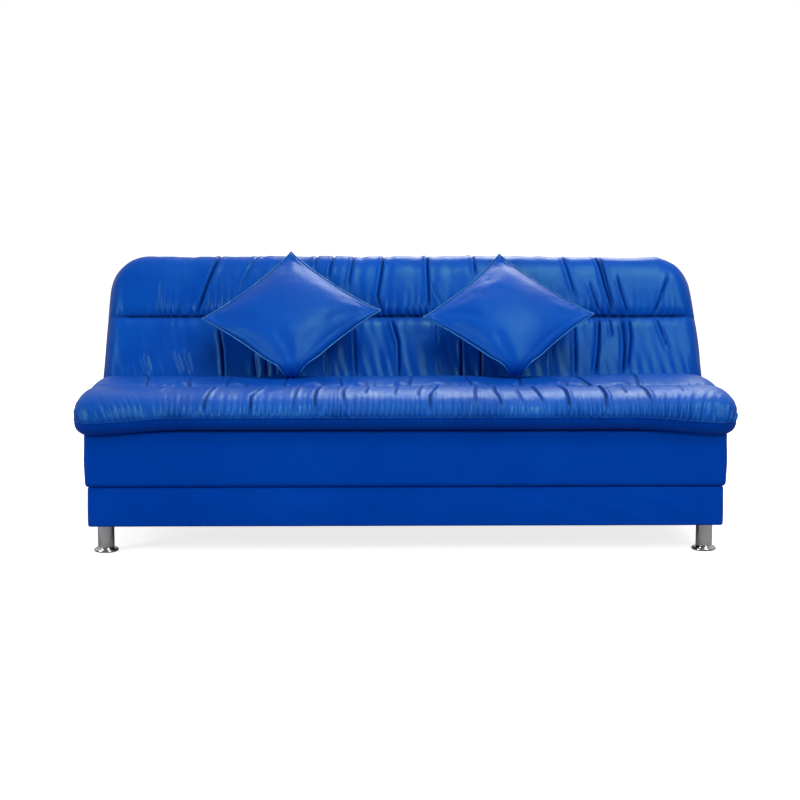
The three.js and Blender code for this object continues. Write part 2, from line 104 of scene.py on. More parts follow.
class Shader:
    """A Principled material, with short ways to add nodes to it."""

    def __init__(self, name, **settings):
        self.material = bpy.data.materials.new(name)
        self.material.use_nodes = True
        self.tree = self.material.node_tree
        self.surface = self.tree.nodes["Principled BSDF"]
        self.coords = self.tree.nodes.new("ShaderNodeTexCoord").outputs["Object"]
        for key, value in settings.items():
            self.surface.inputs[key.replace("_", " ")].default_value = value

    def add(self, kind, inputs, **settings):
        return add_node(self.tree, kind, inputs, **settings)

    def noise(self, scale, detail=3, stretch=(1, 1, 1)):
        place = self.add("Mapping", {"Vector": self.coords, "Scale": stretch})
        inputs = {"Vector": place.outputs[0], "Scale": scale, "Detail": detail}
        return self.add("TexNoise", inputs).outputs[0]

    def between(self, value, low, high):
        """value, about 0.3 to 0.7, spread over low to high."""
        inputs = {"Value": value, "From Min": 0.3, "From Max": 0.7, "To Min": low, "To Max": high}
        return self.add("MapRange", inputs).outputs[0]

    def mix(self, factor, one, other):
        inputs = {0: factor}
        for key, value in ((6, one), (7, other)):
            inputs[key] = value if isinstance(value, bpy.types.NodeSocket) else (*value, 1)
        return self.add("Mix", inputs, data_type="RGBA").outputs[2]

    def bump(self, height, depth, strength, under=None):
        inputs = {"Height": height, "Distance": depth, "Strength": strength}
        if under:
            inputs["Normal"] = under
        return self.add("Bump", inputs).outputs[0]

    def finish(self, colour, roughness=None, normal=None):
        for key, value in (("Base Color", colour), ("Roughness", roughness), ("Normal", normal)):
            if value:
                self.tree.links.new(value, self.surface.inputs[key])
        return self.material


def leather(name, deep, bright, roughness, specular, tint, coat=0.0, folds=True):
    """Coated faux leather: a fine pebble grain, faint clouds of tone and uneven gloss.

    The shade attribute of a skin is how deep a point lies in a crease or under a seam: there the
    colour is painted darker, as shade, and its gloss is gone. With folds, the leather paints this shade.
    """
    s = Shader(
        name, Specular_IOR_Level=specular, Specular_Tint=(*tint, 1),
        Coat_Weight=coat, Coat_Roughness=0.14, Coat_Tint=(*tint, 1),
    )
    colour = s.mix(s.between(s.noise(4.5, 4), 0, 1), deep, bright)
    gloss = s.between(s.noise(16, 4), roughness - 0.05, roughness + 0.07)
    if folds:
        painted_shade = s.add("Attribute", {}, attribute_name="painted_shade").outputs["Fac"]
        # painted shade: creases and seams darken towards this deep navy
        colour = s.mix(painted_shade, colour, (0.0, 0.006, 0.075))
        gloss = s.add("MapRange", {"Value": painted_shade, "To Min": gloss, "To Max": 0.75}).outputs[0]
    uneven = s.bump(s.noise(12, 2, (1, 1, 0.7)), 0.0120, 0.32)
    creased = s.bump(s.noise(38, 3, (1, 1, 0.45)), 0.0020, 0.45, uneven)
    cells = s.add(
        "TexVoronoi", {"Vector": s.coords, "Scale": 620}, feature="DISTANCE_TO_EDGE"
    ).outputs["Distance"]
    grain = s.bump(cells, 0.0006, 0.22, creased)
    return s.finish(colour, gloss, grain)


def chrome(name, metallic):
    s = Shader(name, Metallic=metallic)
    colour = s.mix(s.between(s.noise(30), 0, 1), (0.80, 0.81, 0.82), (0.88, 0.88, 0.89))
    gloss = s.between(s.noise(90, 5), 0.08, 0.17)
    return s.finish(colour, gloss, s.bump(s.noise(400, 2), 0.0001, 0.15))


def steel():
    s = Shader("steel", Metallic=1.0)
    colour = s.mix(s.between(s.noise(60, 5), 0, 1), (0.20, 0.21, 0.22), (0.34, 0.35, 0.36))
    gloss = s.between(s.noise(140, 4, (1, 1, 0.2)), 0.3, 0.48)
    return s.finish(colour, gloss, s.bump(s.noise(500, 2), 0.0002, 0.2))


def wood(name, pale, dark, stretch, roughness):
    """Sawn wood whose grain lies along the axis that stretch shortens."""
    s = Shader(name)
    grain = s.noise(9, 8, stretch)
    fibre = s.noise(60, 6, stretch)
    tone = s.mix(s.between(grain, 0, 1), pale, dark)
    colour = s.mix(s.between(fibre, 0, 0.4), tone, dark)
    gloss = s.between(fibre, roughness - 0.06, roughness + 0.08)
    return s.finish(colour, gloss, s.bump(fibre, 0.0006, 0.4))


def cloth(name, colour_a, colour_b, scale):
    """A plain weave: two crossed waves raise its threads."""
    s = Shader(name, Specular_IOR_Level=0.2, Sheen_Weight=0.3)
    waves = []
    for axis in "XY":
        inputs = {"Vector": s.coords, "Scale": scale, "Distortion": 0.4}
        waves.append(s.add("TexWave", inputs, bands_direction=axis).outputs["Fac"])
    weave = s.add("Math", {0: waves[0], 1: waves[1]}, operation="MULTIPLY").outputs[0]
    colour = s.mix(weave, colour_a, colour_b)
    return s.finish(colour, s.between(s.noise(40), 0.8, 0.95), s.bump(weave, 0.0005, 0.6))


def rubber():
    """A speckled tone over a slightly pitted surface."""
    s = Shader("rubber")
    pits = s.noise(260, 6)
    colour = s.mix(s.between(pits, 0, 1), (0.012, 0.012, 0.013), (0.022, 0.022, 0.024))
    return s.finish(colour, s.between(pits, 0.6, 0.85), s.bump(pits, 0.0003, 0.5))


def studio_paper():
    """The floor: seamless white paper, lit from within so that it meets the white backdrop.

    As a light on the object it is only mid grey, which keeps the fronts deep in colour.
    """
    s = Shader("studio_floor", Roughness=0.8, Specular_IOR_Level=0.0)
    seen = s.add("LightPath", {}).outputs["Is Camera Ray"]
    tone = s.mix(s.between(s.noise(3, 6), 0, 1), (0.84, 0.84, 0.845), (0.87, 0.87, 0.87))
    colour = s.mix(seen, (0.26, 0.26, 0.26), tone)
    glow = s.add("Math", {0: seen, 1: 0.8}, operation="MULTIPLY").outputs[0]
    s.surface.inputs["Emission Color"].default_value = (1, 1, 1, 1)
    s.tree.links.new(glow, s.surface.inputs["Emission Strength"])
    return s.finish(colour)


SATIN = (0.35, 0.95, 0.28)  # the tint of the cushions' gloss
BLUE_GLOSS = (0.02, 0.36, 1.0)  # and of the base's
HIDE_DEEP = (0.0, 0.056, 0.395)
HIDE_BRIGHT = (0.0005, 0.076, 0.47)
BASE_HIDE = (0.0, 0.050, 0.44), (0.0, 0.060, 0.48)
# painted shade: the boxing, in shade under the seat's roll, gets the base hide darkened
SHADED_BOXING_HIDE = (0.0, 0.037, 0.35), (0.0, 0.045, 0.38)
PIPING_BRIGHT = (0.02, 0.13, 0.62)
CUSHION = leather("cushion_leather", HIDE_DEEP, HIDE_BRIGHT, 0.40, 0.42, SATIN)
BACK = leather("back_leather", HIDE_DEEP, HIDE_BRIGHT, 0.34, 0.27, SATIN)
BASE = leather("base_leather", *BASE_HIDE, 0.42, 0.5, BLUE_GLOSS, folds=False)
SHADED_BOXING = leather("shaded_boxing_leather", *SHADED_BOXING_HIDE, 0.42, 0.5, BLUE_GLOSS, folds=False)
PILLOW = leather("pillow_leather", HIDE_DEEP, HIDE_BRIGHT, 0.42, 0.25, SATIN, folds=False)
PIPING = leather("piping_leather", HIDE_BRIGHT, PIPING_BRIGHT, 0.30, 0.5, SATIN, 0.3, False)
LINING = cloth("slot_lining", (0.004, 0.008, 0.03), (0.012, 0.02, 0.06), 900)
CHROME = chrome("chrome", 1.0)
SATIN_CHROME = chrome("satin_chrome", 0.78)
STEEL = steel()
PINE_TONES = (0.62, 0.42, 0.22), (0.42, 0.25, 0.11)
PINE = [  # by the axis along which a board lies
    wood("pine_lengthways", *PINE_TONES, (0.12, 1, 1), 0.62),
    wood("pine_crossways", *PINE_TONES, (1, 0.12, 1), 0.62),
    wood("pine_upright", *PINE_TONES, (1, 1, 0.12), 0.62),
]
PLYWOOD = wood("plywood", (0.55, 0.38, 0.21), (0.40, 0.26, 0.13), (0.1, 0.7, 1), 0.68)
DUST_CLOTH = cloth("dust_cloth", (0.006, 0.006, 0.007), (0.022, 0.022, 0.024), 420)
RUBBER = rubber()
FLOOR = studio_paper()


def paint(node, material):
    """Gives a CAD node its finish, on all its faces."""
    mesh = frame["nodes"][node].data
    mesh.materials.clear()
    mesh.materials.append(material)
    for face in mesh.polygons:
        face.material_index = 0


COVERED = ("base_deck", "back_top_rail")  # the base's leather is pulled over these


def paint_hidden_structure():
    """The finish of each other CAD node comes from its slot in the record."""
    finishes = {
        "steel": STEEL,
        "chrome": CHROME,
        "rubber": RUBBER,
        "plywood": PLYWOOD,
        "dust_cloth": DUST_CLOTH,
    }
    for part in frame["record"]["subparts"]:
        node, slot = part["node"], part["material_slot"]
        # painted shade: the seat deck takes the black dust cloth, so the gap under the cushion shows dark
        if node == "seat_deck":
            paint(node, DUST_CLOTH)
        elif node in COVERED:
            paint(node, BASE)
        elif slot in finishes:
            paint(node, finishes[slot])
        elif slot == "pine":
            low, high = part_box(node)
            longest = max(range(3), key=lambda axis: (high - low)[axis])
            paint(node, PINE[longest])


# ---- Shapes ----


def smoothstep(low, high, value):
    t = np.clip((value - low) / (high - low), 0, 1)
    return t * t * (3 - 2 * t)


def spline(points, per_span=24):
    """A dense smooth curve through points, and the index of each point on it."""
    p = np.array(points, float)
    padded = np.vstack([2 * p[0] - p[1], p, 2 * p[-1] - p[-2]])
    t = np.linspace(0, 1, per_span, endpoint=False)[:, None]
    spans = []
    for a, b, c, d in zip(padded, padded[1:], padded[2:], padded[3:]):
        spans.append(
            0.5 * (2 * b + (c - a) * t + (2 * a - 5 * b + 4 * c - d) * t**2
                   + (3 * b - a - 3 * c + d) * t**3)
        )
    return np.vstack(spans + [p[-1:]]), np.arange(len(p)) * per_span


CORD_SIDES, PIPING_RADIUS = 8, 0.0024
# The end of a curve to which its points crowd, and how strongly.
EVEN = (0.0, 1.0)
TO_START = (0.0, 1.6)
TO_END = (1.0, 1.6)


def stretch(curve, count, crowd=EVEN):
    """count points along a dense curve, without its last; crowd is the end they crowd to."""
    length = arc_lengths(curve)
    end, power = crowd
    t = np.linspace(0, 1, count, endpoint=False)
    at = np.abs(end - np.abs(end - t) ** power) * length[-1]
    return np.stack([np.interp(at, length, curve[:, k]) for k in range(curve.shape[1])], 1)


def arc_lengths(points):
    """How far along a line of points each of them lies."""
    steps = np.linalg.norm(np.diff(points, axis=0), axis=1)
    return np.concatenate([[0], np.cumsum(steps)])


def outward(points):
    """Unit normals of a grid of points that closes on itself along its second axis."""
    along = np.gradient(points, axis=0)
    wrapped = np.concatenate([points[:, -1:], points, points[:, :1]], axis=1)
    around = (wrapped[:, 2:] - wrapped[:, :-2]) / 2
    normal = np.cross(along, around)
    normal /= np.linalg.norm(normal, axis=2, keepdims=True) + 1e-12
    middle = points.mean(axis=1, keepdims=True)
    if ((points - middle) * normal).sum() < 0:
        normal = -normal
    return normal


def piece(name, mesh, material):
    obj = bpy.data.objects.new(name, mesh)
    bpy.context.scene.collection.objects.link(obj)
    mesh.materials.append(material)
    return obj


def solid(name, points, faces, material):
    """A smooth piece from its points and faces."""
    mesh = bpy.data.meshes.new(name)
    mesh.from_pydata(points.tolist(), [], faces)
    tidy_up(mesh)
    return piece(name, mesh, material)


def skin(name, points, material, painted_shade=None):
    """A closed mesh over a grid of rings, each end closed by one face."""
    columns, ring = points.shape[:2]
    i, j = np.meshgrid(np.arange(columns - 1), np.arange(ring), indexing="ij")
    k = (j + 1) % ring
    quads = np.stack([i * ring + j, (i + 1) * ring + j, (i + 1) * ring + k, i * ring + k], -1)
    faces = quads.reshape(-1, 4).tolist()
    faces.append(list(range(ring)))
    faces.append(list(range((columns - 1) * ring, columns * ring))[::-1])
    obj = solid(name, points.reshape(-1, 3), faces, material)
    # the painted shade of creases and seams, kept on each point for the leather to darken by
    if painted_shade is not None:
        painted_shade_layer = obj.data.attributes.new("painted_shade", "FLOAT", "POINT")
        painted_shade_layer.data.foreach_set("value", np.clip(painted_shade, 0, 1).ravel())
    return obj


def tidy_up(mesh):
    """Faces out, and every face smooth."""
    shape = bmesh.new()
    shape.from_mesh(mesh)
    bmesh.ops.recalc_face_normals(shape, faces=shape.faces)
    shape.to_mesh(mesh)
    shape.free()
    mesh.polygons.foreach_set("use_smooth", [True] * len(mesh.polygons))


def close_loop(mesh):
    """Joins the last ring of a skin to its first, on which it lies, and drops the end faces."""
    shape = bmesh.new()
    shape.from_mesh(mesh)
    ends = [face for face in shape.faces if len(face.verts) > 4]
    bmesh.ops.delete(shape, geom=ends, context="FACES_ONLY")
    bmesh.ops.remove_doubles(shape, verts=shape.verts, dist=1e-6)
    shape.to_mesh(mesh)
    shape.free()
    tidy_up(mesh)


def tube(name, path, radius, material, closed=False):
    """A round cord swept along a path without twist."""
    path = np.array(path, float)
    if closed:
        along = np.roll(path, -1, 0) - np.roll(path, 1, 0)
    else:
        along = np.gradient(path, axis=0)
    along /= np.linalg.norm(along, axis=1, keepdims=True) + 1e-12
    side = np.cross(along[0], [0.3, 0.2, 1.0])
    turn = np.linspace(0, 2 * math.pi, CORD_SIDES, endpoint=False)[:, None]
    rings = []
    for point, direction in zip(path, along):
        side = side - direction * side.dot(direction)
        side /= np.linalg.norm(side)
        other = np.cross(direction, side)
        rings.append(point + radius * (np.cos(turn) * side + np.sin(turn) * other))
    if closed:
        rings.append(rings[0])
    obj = skin(name, np.array(rings), material)
    if closed:
        close_loop(obj.data)
    return obj


def turned(name, profile, centre, material, closed=False):
    """A profile of (radius, height) turned about an upright axis through centre; a closed one
    ends where it starts, as a tube's does."""
    angle = np.linspace(0, 2 * math.pi, 72, endpoint=False)
    rings = [
        np.stack([centre[0] + r * np.cos(angle), centre[1] + r * np.sin(angle),
                  np.full(len(angle), h)], 1)
        for r, h in profile
    ]
    obj = skin(name, np.array(rings), material)
    if closed:
        close_loop(obj.data)
    obj.data.set_sharp_from_angle(angle=math.radians(34))
    return obj


# ---- Relief: seams, puckers and pleats, as heights along the skin's normal ----


def ripple(x, spacing, seed):
    """Smooth noise from -1 to 1 along one axis."""
    knots = np.random.default_rng(seed).uniform(-1, 1, int(6 / spacing) + 8)
    t = (x + 3) / spacing
    i = np.floor(t).astype(int)
    f = t - i
    s = f * f * (3 - 2 * f)
    return knots[i] * (1 - s) + knots[i + 1] * s


def puckers(x, v, at, reach, height, spacing, seed, slant=0.0):
    """Gathers that stand along a seam at v = at, and die away within reach of it."""
    away = np.abs(v - at)
    across = x + slant * (v - at)
    phase = across / spacing + 0.55 * ripple(across, spacing * 2.7, seed)
    strength = 0.55 + 0.45 * ripple(x, spacing * 4.3, seed + 1)
    wave = np.cos(2 * math.pi * phase)
    return height * strength * (0.35 + wave) * np.exp(-away / reach)


def groove(v, at, depth, width):
    """A stitched line: the skin dips to it, steeply at first."""
    away = np.abs(v - at)
    return -depth * (0.65 * np.exp(-away / width) + 0.35 * np.exp(-((away / (3.5 * width)) ** 2)))


def crease(v, at, width):
    """How deep in shade a stitched line lies, from 0 to 1."""
    return np.exp(-(((v - at) / width) ** 2))


def pleat(x, v, line, width):
    """A fold along a line of (x, v) points: its height, a narrow groove with a soft lip beside
    it, and its shade, from 0 to 1."""
    height, shade = np.zeros_like(x), np.zeros_like(x)
    lines = np.array(line, float)
    reach = 9 * width
    near = (
        (x > lines[:, 0].min() - reach) & (x < lines[:, 0].max() + reach)
        & (v > lines[:, 1].min() - reach) & (v < lines[:, 1].max() + reach)
    )
    if not near.any():
        return height, shade
    p = np.stack([x[near], v[near]], 1)
    best = np.full(len(p), 1e9)
    signed = np.zeros(len(p))
    along = np.zeros(len(p))
    starts = arc_lengths(lines)
    for a, b, start in zip(lines, lines[1:], starts):
        span = np.linalg.norm(b - a)
        d = (b - a) / span
        t = np.clip((p - a) @ d, 0, span)
        off = p - (a + t[:, None] * d)
        distance = np.linalg.norm(off, axis=1)
        closer = distance < best
        best = np.where(closer, distance, best)
        side = off[:, 0] * d[1] - off[:, 1] * d[0]
        signed = np.where(closer, np.copysign(distance, side), signed)
        along = np.where(closer, start + t, along)
    q = along / starts[-1]
    taper = smoothstep(0, 0.16, q) * smoothstep(1, 0.84, q) * 0.75 + 0.25
    past_end = (q <= 0) | (q >= 1)
    end_fade = np.where(past_end, np.exp(-((best / (1.4 * width)) ** 2)), 1)
    cut = -np.exp(-((signed / width) ** 2))
    lip = 0.42 * np.exp(-(((signed - 2.5 * width) / (1.9 * width)) ** 2))
    far_lip = 0.18 * np.exp(-(((signed + 3.2 * width) / (2.6 * width)) ** 2))
    height[near] = taper * end_fade * (cut + lip + far_lip)
    shade[near] = taper * end_fade * np.exp(-((signed / (0.8 * width)) ** 2))
    return height, shade


def pleats(x, v, lines, depth, width=0.0031):
    """Heights and shades of lines, each (strength, (x, v), (x, v), ...)."""
    height, shade = np.zeros_like(x), np.zeros_like(x)
    for strength, *points in lines:
        rise, dark = pleat(x, v, points, width)
        height += depth * strength * rise
        shade = np.maximum(shade, min(1, 0.8 * strength) * dark)
    return height, shade


# ---- Seat cushion ----

SEAT_SPINE = 0.388  # the height at which the cushion's ends are widest
SEAT_END, SEAT_SQUARE = 0.062, 2.5  # how far in its ends start to round, and how squarely
SEAT_DROOP = 0.016  # how far the front corners sag over the base
WELT_ROW, UNDER_ROWS = 12, 6  # rows of the skin up to the welt, and along its underside
LOWER_ROLL, UPPER_ROLL = 26, 24  # rows of the two halves of its front roll
CHANNEL_ROW = WELT_ROW + LOWER_ROLL + UPPER_ROLL
WELT_AHEAD = 0.268  # how far forward of the channel the welt lies, along the skin

# The cushion's side view, (back from the nose, height): the boxing from its lower lip up to
# the welt, the front roll to the sewn channel, the rear strip, and its rear side.
SEAT_BOXING = [
    (0.036, SEAT_FOOT), (0.019, SEAT_FOOT + 0.0012), (0.0095, 0.3545), (0.0035, 0.3675),
    (0.0010, 0.3815),
]
SEAT_ROLL = [
    (0.005, 0.396), (0.018, 0.4135), (0.044, 0.4295), (0.082, 0.4400), (0.124, 0.4440),
    (0.170, 0.4435), (0.212, 0.4395), (0.240, 0.4345),
]
SEAT_STRIP = [(0.270, 0.4385), (0.325, 0.4435), (0.400, 0.4435), (0.455, 0.4385), (0.488, 0.4270)]
SEAT_REAR = [(0.5055, 0.404), (0.5030, 0.372), (0.4965, 0.352), (0.484, SEAT_FOOT)]

# Pleats of the front roll: strength, then (x, distance forward of the channel).
SEAT_PLEATS = [
    (1.0, (-0.519, 0.02), (-0.524, 0.12), (-0.534, 0.19), (-0.541, 0.255)),
    (1.3, (-0.381, 0.01), (-0.398, 0.13), (-0.416, 0.19), (-0.414, 0.262)),
    (0.8, (-0.286, 0.02), (-0.297, 0.15), (-0.303, 0.25)),
    (1.2, (-0.222, 0.01), (-0.240, 0.14), (-0.245, 0.20), (-0.242, 0.25)),
    (0.9, (-0.152, 0.02), (-0.170, 0.15), (-0.168, 0.23)),
    (0.6, (-0.100, 0.03), (-0.110, 0.17)),
    (0.6, (-0.022, 0.05), (-0.030, 0.18)),
    (0.7, (0.053, 0.02), (0.030, 0.19)),
    (1.2, (0.103, 0.01), (0.078, 0.14), (0.064, 0.19), (0.062, 0.25)),
    (0.8, (0.200, 0.03), (0.187, 0.15), (0.183, 0.24)),
    (0.9, (0.243, 0.02), (0.240, 0.15), (0.258, 0.25)),
    (0.6, (0.298, 0.12), (0.309, 0.22)),
    (1.0, (0.344, 0.02), (0.352, 0.14), (0.366, 0.23)),
    (1.3, (0.409, 0.01), (0.432, 0.14), (0.436, 0.25)),
    (1.4, (0.484, -0.20), (0.500, -0.10), (0.528, 0.02), (0.537, 0.19), (0.530, 0.26)),
    (0.6, (0.590, 0.06), (0.596, 0.17)),
    (1.1, (0.634, 0.01), (0.650, 0.15), (0.655, 0.23)),
    (0.6, (-0.640, 0.04), (-0.655, 0.15)),
    (0.5, (0.745, 0.05), (0.752, 0.16)),
]

# Folds of the rear strip, and the knots where it is caught into the channel.
STRIP_PLEATS = [
    (1.0, (-0.742, -0.21), (-0.726, -0.12), (-0.722, -0.01)),
    (0.9, (-0.497, -0.19), (-0.492, -0.10), (-0.500, -0.01)),
    (0.7, (-0.610, -0.12), (-0.602, -0.01)),
    (0.8, (-0.330, -0.15), (-0.338, -0.01)),
    (0.7, (-0.185, -0.14), (-0.178, -0.01)),
    (0.8, (0.020, -0.16), (0.012, -0.01)),
    (0.9, (0.172, -0.17), (0.186, -0.01)),
    (0.8, (0.330, -0.14), (0.322, -0.01)),
    (0.9, (0.655, -0.20), (0.660, -0.10), (0.652, -0.01)),
]
KNOTS = [-0.62, -0.47, -0.26, -0.13, -0.01, 0.09, 0.20, 0.31, 0.43, 0.47, 0.60]


def seat_ring():
    """One side view of the cushion, and each point's distance forward of the channel."""
    outline = SEAT_BOXING + SEAT_ROLL + SEAT_STRIP + SEAT_REAR
    curve, at = spline(outline)
    welt = len(SEAT_BOXING) - 1
    channel = welt + len(SEAT_ROLL)
    crest = channel + len(SEAT_STRIP)
    middle = (at[welt] + at[channel]) // 2
    parts = [
        stretch(curve[: at[welt] + 1], WELT_ROW),
        stretch(curve[at[welt]: middle + 1], LOWER_ROLL, TO_START),
        stretch(curve[middle: at[channel] + 1], UPPER_ROLL, TO_END),
        stretch(curve[at[channel]: at[crest] + 1], 24, TO_START),
        stretch(curve[at[crest]:], 8),
        stretch(np.array([outline[-1], outline[0]]), UNDER_ROWS),
    ]
    ring = np.vstack(parts)
    climb = arc_lengths(ring)
    return ring, climb[CHANNEL_ROW] - climb


def end_columns(half, rounding, squareness, middle_count, end_count):
    """Where the rings stand along X, and how far each is drawn in: 1 is not at all."""
    turn = np.linspace(0, math.radians(89.6), end_count + 1)[1:]
    out = np.sin(turn) ** (2 / squareness) * rounding + half - rounding
    drawn = np.cos(turn) ** (2 / squareness)
    middle = np.linspace(rounding - half, half - rounding, middle_count)
    x = np.concatenate([-out[::-1], middle, out])
    return x, np.concatenate([drawn[::-1], np.ones(middle_count), drawn])


def seat_relief(x, v):
    """Heights and shades over the seat's skin, where v runs forward from the channel."""
    welt = WELT_AHEAD
    roll = smoothstep(-0.004, 0.03, v)
    height, shade = pleats(x, v, SEAT_PLEATS, 0.0058)
    strip_height, strip_shade = pleats(x, v, STRIP_PLEATS, 0.0048)
    height += strip_height + groove(v, 0, 0.0090, 0.0055)
    shade = np.maximum(shade, strip_shade)
    front = smoothstep(welt + 0.002, welt - 0.006, v) * roll
    fan = -0.55 * smoothstep(-0.55, -0.85, x) + 0.35 * smoothstep(0.6, 0.85, x)
    gathers = puckers(x, v, welt - 0.008, 0.026, 0.0050, 0.0150, 11, fan)
    height += front * gathers
    height += front * puckers(x, v, welt - 0.020, 0.042, 0.0026, 0.031, 21, fan)
    height += roll * puckers(x, v, 0, 0.018, 0.0020, 0.021, 31)
    strip = smoothstep(0.002, -0.006, v) * smoothstep(-0.30, -0.22, v)
    height += strip * puckers(x, v, 0, 0.030, 0.0026, 0.034, 41)
    for number, knot in enumerate(KNOTS):
        wide = 0.013 + 0.009 * math.sin(number * 2.3) ** 2
        lump = np.exp(-(((x - knot) / wide) ** 2)) * np.exp(-(((v + 0.030) / 0.022) ** 2))
        height += 0.0060 * lump
        # painted shade in the dip beside each knot
        beside = np.exp(-(((x - knot - 1.5 * wide) / 0.006) ** 2))
        shade = np.maximum(shade, 0.6 * beside * np.exp(-(((v + 0.028) / 0.020) ** 2)))
    swell = ripple(x, 0.21, 51) + 0.6 * ripple(x, 0.083, 52)
    height += 0.0024 * swell * smoothstep(welt, welt - 0.05, v) * smoothstep(-0.27, -0.2, v)
    raised = smoothstep(0.50, 0.60, x) * smoothstep(0.86, 0.78, x)
    height += 0.0050 * raised * strip * smoothstep(-0.03, -0.15, v)
    boxing = smoothstep(welt, welt + 0.006, v)
    height += boxing * 0.0012 * ripple(x, 0.055, 61) * smoothstep(welt + 0.045, welt + 0.02, v)
    height += groove(v, welt, 0.0022, 0.0030)
    shade = np.maximum(shade, 0.9 * crease(v, 0, 0.0045))
    shade = np.maximum(shade, 0.45 * front * np.clip(-gathers / 0.0030, 0, 1))
    # painted shade over the boxing, under the roll, darkening towards the cushion's lower lip
    under = boxing * (0.30 + 0.40 * smoothstep(welt + 0.006, welt + 0.032, v))
    under += 0.3 * smoothstep(welt + 0.026, welt + 0.036, v)
    return height, np.maximum(shade, under)


def seat_cushion():
    ring, forward = seat_ring()
    x, drawn = end_columns(SEAT_HALF, SEAT_END, SEAT_SQUARE, 880, 20)
    back, height = ring[:, 0], ring[:, 1]
    spine = np.clip(back, 0.055, 0.452)
    shrink = drawn[:, None]
    y = spine + (back - spine) * shrink
    z = SEAT_SPINE + (height - SEAT_SPINE) * shrink
    across = np.repeat(x[:, None], len(ring), axis=1)
    grid = np.stack([across, NOSE + y, z], axis=2)
    v = np.repeat(forward[None], len(x), axis=0)
    calm = smoothstep(0, 0.5, drawn)[:, None]
    height, shade = seat_relief(across, v)
    grid += outward(grid) * (height * calm)[:, :, None]
    outside = np.maximum(
        smoothstep(0.0, 0.005, np.abs(grid[..., 0]) - BOX_HIGH.x - 0.002),
        smoothstep(0.0, 0.005, BOX_LOW.y - grid[..., 1] - 0.001),
    )
    corner = smoothstep(0.60, 0.87, np.abs(across)) * smoothstep(0.20, 0.02, y)
    low = smoothstep(0.425, 0.375, grid[..., 2])
    sag = SEAT_DROOP * corner * low
    resting = grid[..., 2] < SEAT_LOW.z + 0.004
    grid[..., 2] -= np.where(resting, sag * outside, sag)
    grid[..., 2] = np.where(outside > 0.02, grid[..., 2], np.maximum(grid[..., 2], SEAT_FOOT))
    cushion = skin("seat_cushion", grid, CUSHION, shade)
    cushion.data.materials.append(SHADED_BOXING)
    rows = len(ring)
    for face in cushion.data.polygons:  # the boxing, below the welt, is of a plainer hide, painted darker as shade under the roll
        if len(face.vertices) == 4:
            at = [number % rows for number in face.vertices]
            in_boxing = max(at) <= WELT_ROW or min(at) >= rows - UNDER_ROWS
            face.material_index = 1 if in_boxing else 0
    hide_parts("seat_cover", "seat_foam")
    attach(cushion, "base")

    front = grid[:, WELT_ROW] + np.array([0, -0.0006, 0])
    ends = []
    for edge in (grid[0], grid[-1]):
        line = edge[: len(ring) - UNDER_ROWS]
        ends.append(line[WELT_ROW + 1: -6: 5])
    path = np.vstack([ends[0][::-1], front, ends[1]])
    welt = tube("seat_welt", path, 0.0013, CUSHION)
    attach(welt, "base")


# ---- Backrest, in its own axes: x, n out of its rear, u up from the hinge ----

BACK_END = 0.058  # how far in its ends start to round,
BACK_SQUARE, BACK_REAR_SQUARE = 2.2, 5.0  # and how squarely, in front and at the rear
BACK_CORNER = 0.112  # rounding of its upper corners
BACK_LOW_CORNER = 0.022
BACK_PULL = 0.013  # how much further in its upper right corner is pulled
BACK_LOW_ROWS, SEAM_ROW = 8, 8 + 36  # rows of the skin round its foot, and up to the seam
PANEL_HALF, PANEL_LOW, PANEL_HIGH = 0.838, -0.075, 0.372  # of the frame and its rear panel
STILE_CUT = 0.030  # sawn off the upper corners of the outer stiles
SLOT = (0.8275, 0.8665), (-0.060, 0.100), (-0.110, 0.038)  # x, n and u of each hinge's slot

# Pleats of the backrest: strength, then (x, distance above the seam).
BACK_PLEATS = [
    (1.4, (-0.540, 0.246), (-0.550, 0.184), (-0.585, 0.084), (-0.609, 0.006)),
    (0.6, (-0.434, 0.244), (-0.440, 0.184), (-0.484, 0.084)),
    (0.8, (-0.256, 0.239), (-0.262, 0.154)),
    (0.9, (-0.204, 0.244), (-0.210, 0.184), (-0.221, 0.114)),
    (0.8, (-0.146, 0.234), (-0.150, 0.164), (-0.161, 0.084)),
    (1.1, (-0.054, 0.244), (-0.062, 0.144), (-0.074, 0.060), (-0.065, 0.009)),
    (1.1, (0.074, 0.244), (0.074, 0.144), (0.079, 0.014)),
    (0.6, (0.087, 0.094), (0.108, 0.044)),
    (0.9, (0.207, 0.239), (0.217, 0.124)),
    (0.9, (0.474, 0.224), (0.486, 0.164), (0.513, 0.059)),
    (0.8, (0.556, 0.104), (0.583, 0.009)),
    (1.4, (0.570, 0.244), (0.582, 0.184), (0.600, 0.094), (0.626, 0.004)),
    (1.0, (0.590, 0.204), (0.606, 0.114), (0.630, 0.014)),
    (1.0, (0.640, 0.124), (0.650, 0.074), (0.668, 0.009)),
    (1.0, (0.796, 0.134), (0.775, 0.079), (0.746, 0.006)),
    (0.3, (-0.718, 0.104), (-0.722, 0.003)),
    (1.3, (-0.548, -0.026), (-0.533, -0.104), (-0.527, -0.196)),
    (0.9, (-0.147, -0.026), (-0.138, -0.196)),
    (1.2, (-0.036, -0.002), (-0.013, -0.086), (-0.011, -0.196)),
    (0.6, (0.096, -0.026), (0.102, -0.086)),
    (1.0, (0.172, -0.066), (0.172, -0.196)),
    (0.8, (0.229, -0.096), (0.229, -0.196)),
    (1.0, (0.509, -0.016), (0.509, -0.186)),
    (1.4, (0.584, -0.002), (0.578, -0.096), (0.566, -0.186)),
    (0.7, (0.614, -0.002), (0.620, -0.066)),
    (1.1, (0.650, -0.002), (0.656, -0.096), (0.648, -0.186)),
    (1.0, (0.672, -0.002), (0.676, -0.066), (0.664, -0.166)),
    (0.9, (0.752, -0.004), (0.786, -0.106)),
]

